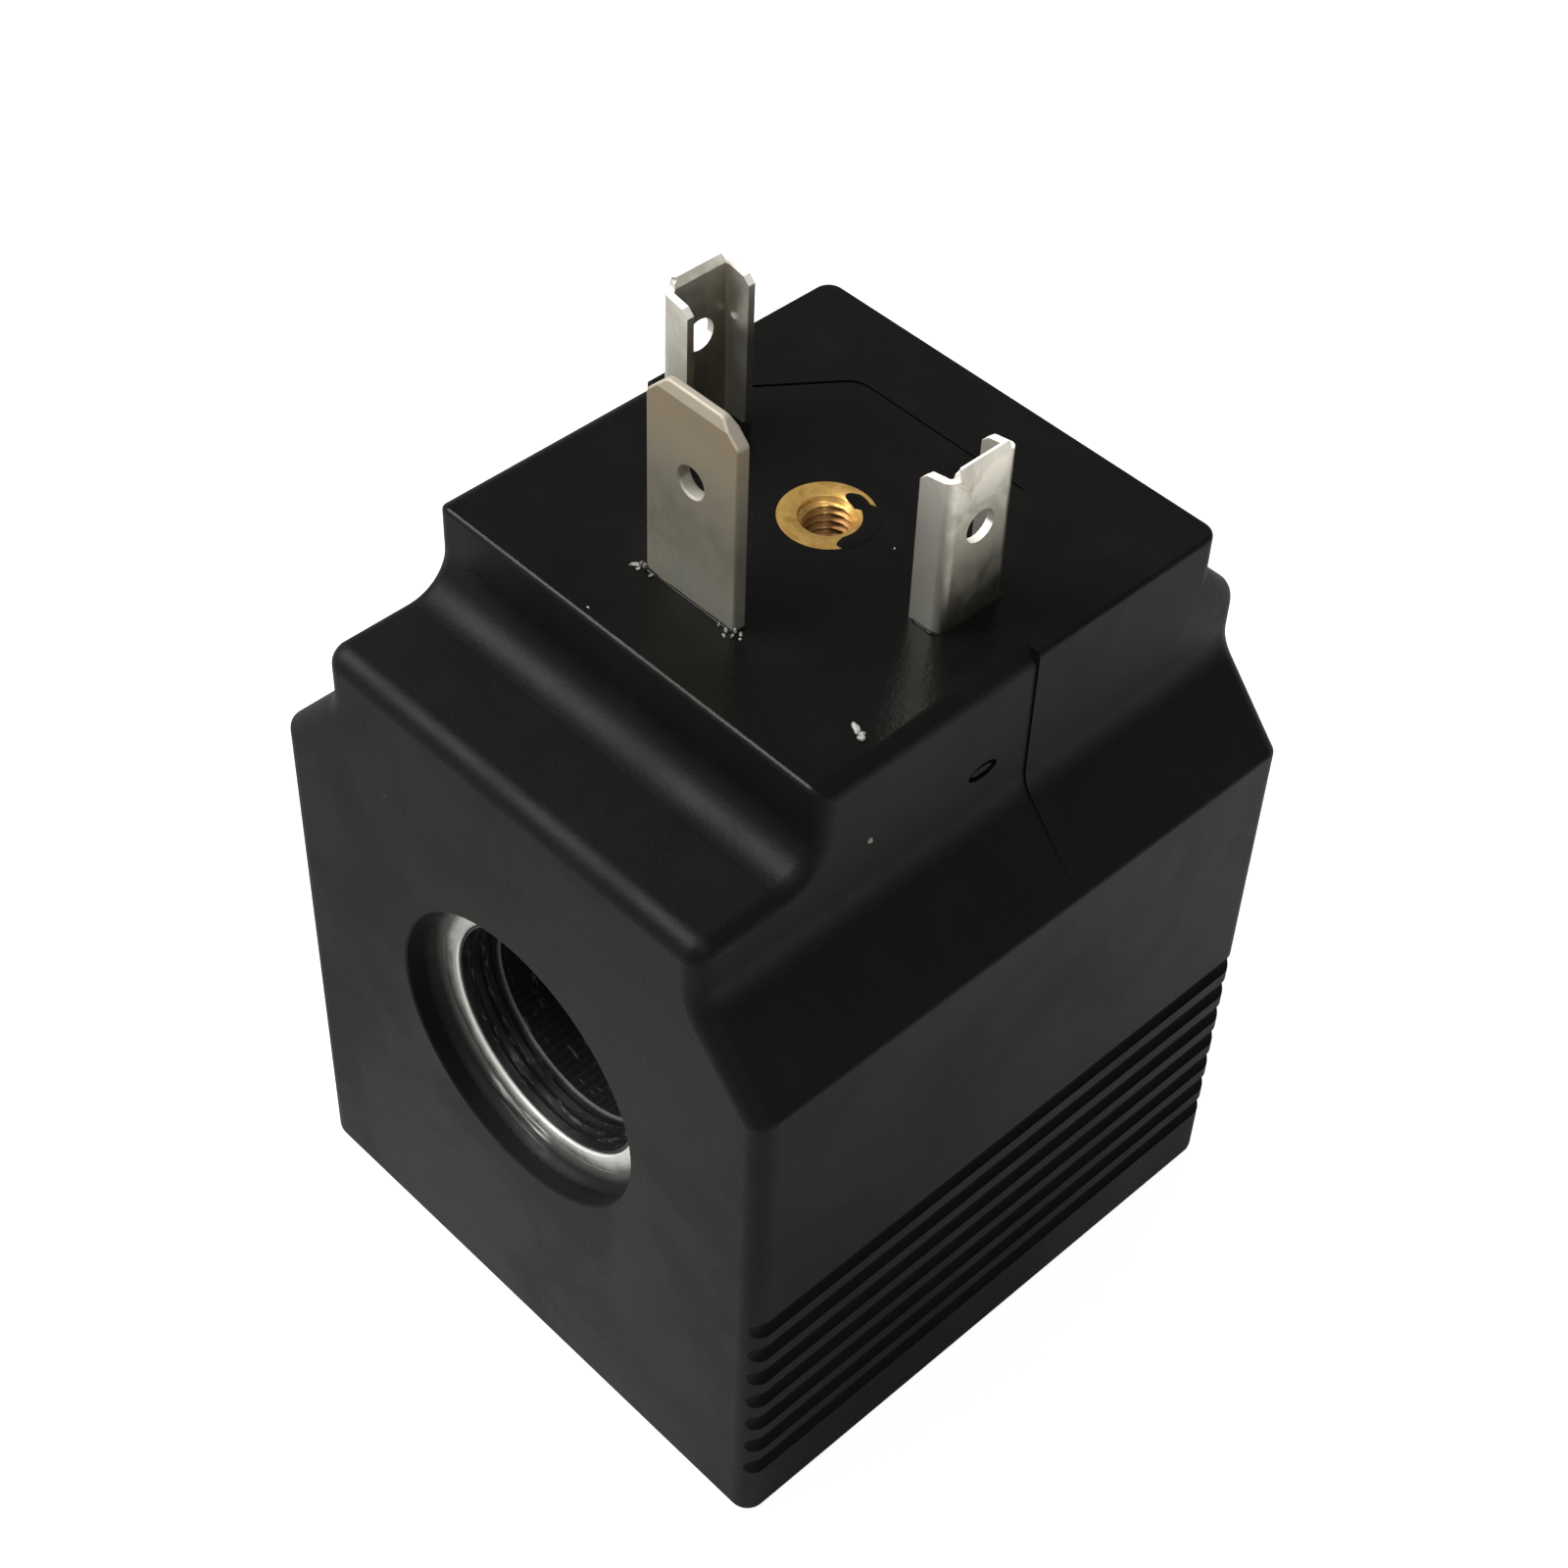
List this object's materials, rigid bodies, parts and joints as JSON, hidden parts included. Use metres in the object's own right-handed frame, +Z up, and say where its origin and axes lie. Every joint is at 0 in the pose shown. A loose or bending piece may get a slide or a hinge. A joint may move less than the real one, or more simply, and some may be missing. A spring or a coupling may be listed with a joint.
{
  "type": "solenoid_valve_coil",
  "caption": "Encapsulated solenoid coil for a cartridge valve: black resin block with a through bore for the valve tube and a square plug base with blade contacts and a brass screw insert",
  "frame": {"origin": "centre of the bottom face, midway between the front and rear faces", "axes": "+Z up along the plug contacts, -Y out of the front face where the valve's stem enters, +X to the right seen from the front"},
  "size_m": [0.0372, 0.0384, 0.0617],
  "materials": {
    "black_resin": "satin",
    "bobbin_nylon": "satin",
    "brass": "machined",
    "tinned_brass": "tinned sheet",
    "copper": null,
    "tape": "polyester tape",
    "sleeve": "woven sleeve",
    "solder": "bright solder",
    "yoke_steel": "zinc plated"
  },
  "bodies": {
    "root": {"casing": "black_resin", "terminal_carrier": "black_resin", "thread_insert": "brass", "ground_terminal": "tinned_brass", "line_terminal_left": "tinned_brass", "line_terminal_right": "tinned_brass", "bobbin": "bobbin_nylon", "winding": "copper", "winding_tape": "tape", "start_lead": "copper", "finish_lead": "copper", "start_sleeve": "sleeve", "finish_sleeve": "sleeve", "solder_joints": "solder", "yoke_frame": "yoke_steel", "yoke_bridge": "yoke_steel", "ground_rivet": "brass"}
  },
  "joints": []
}
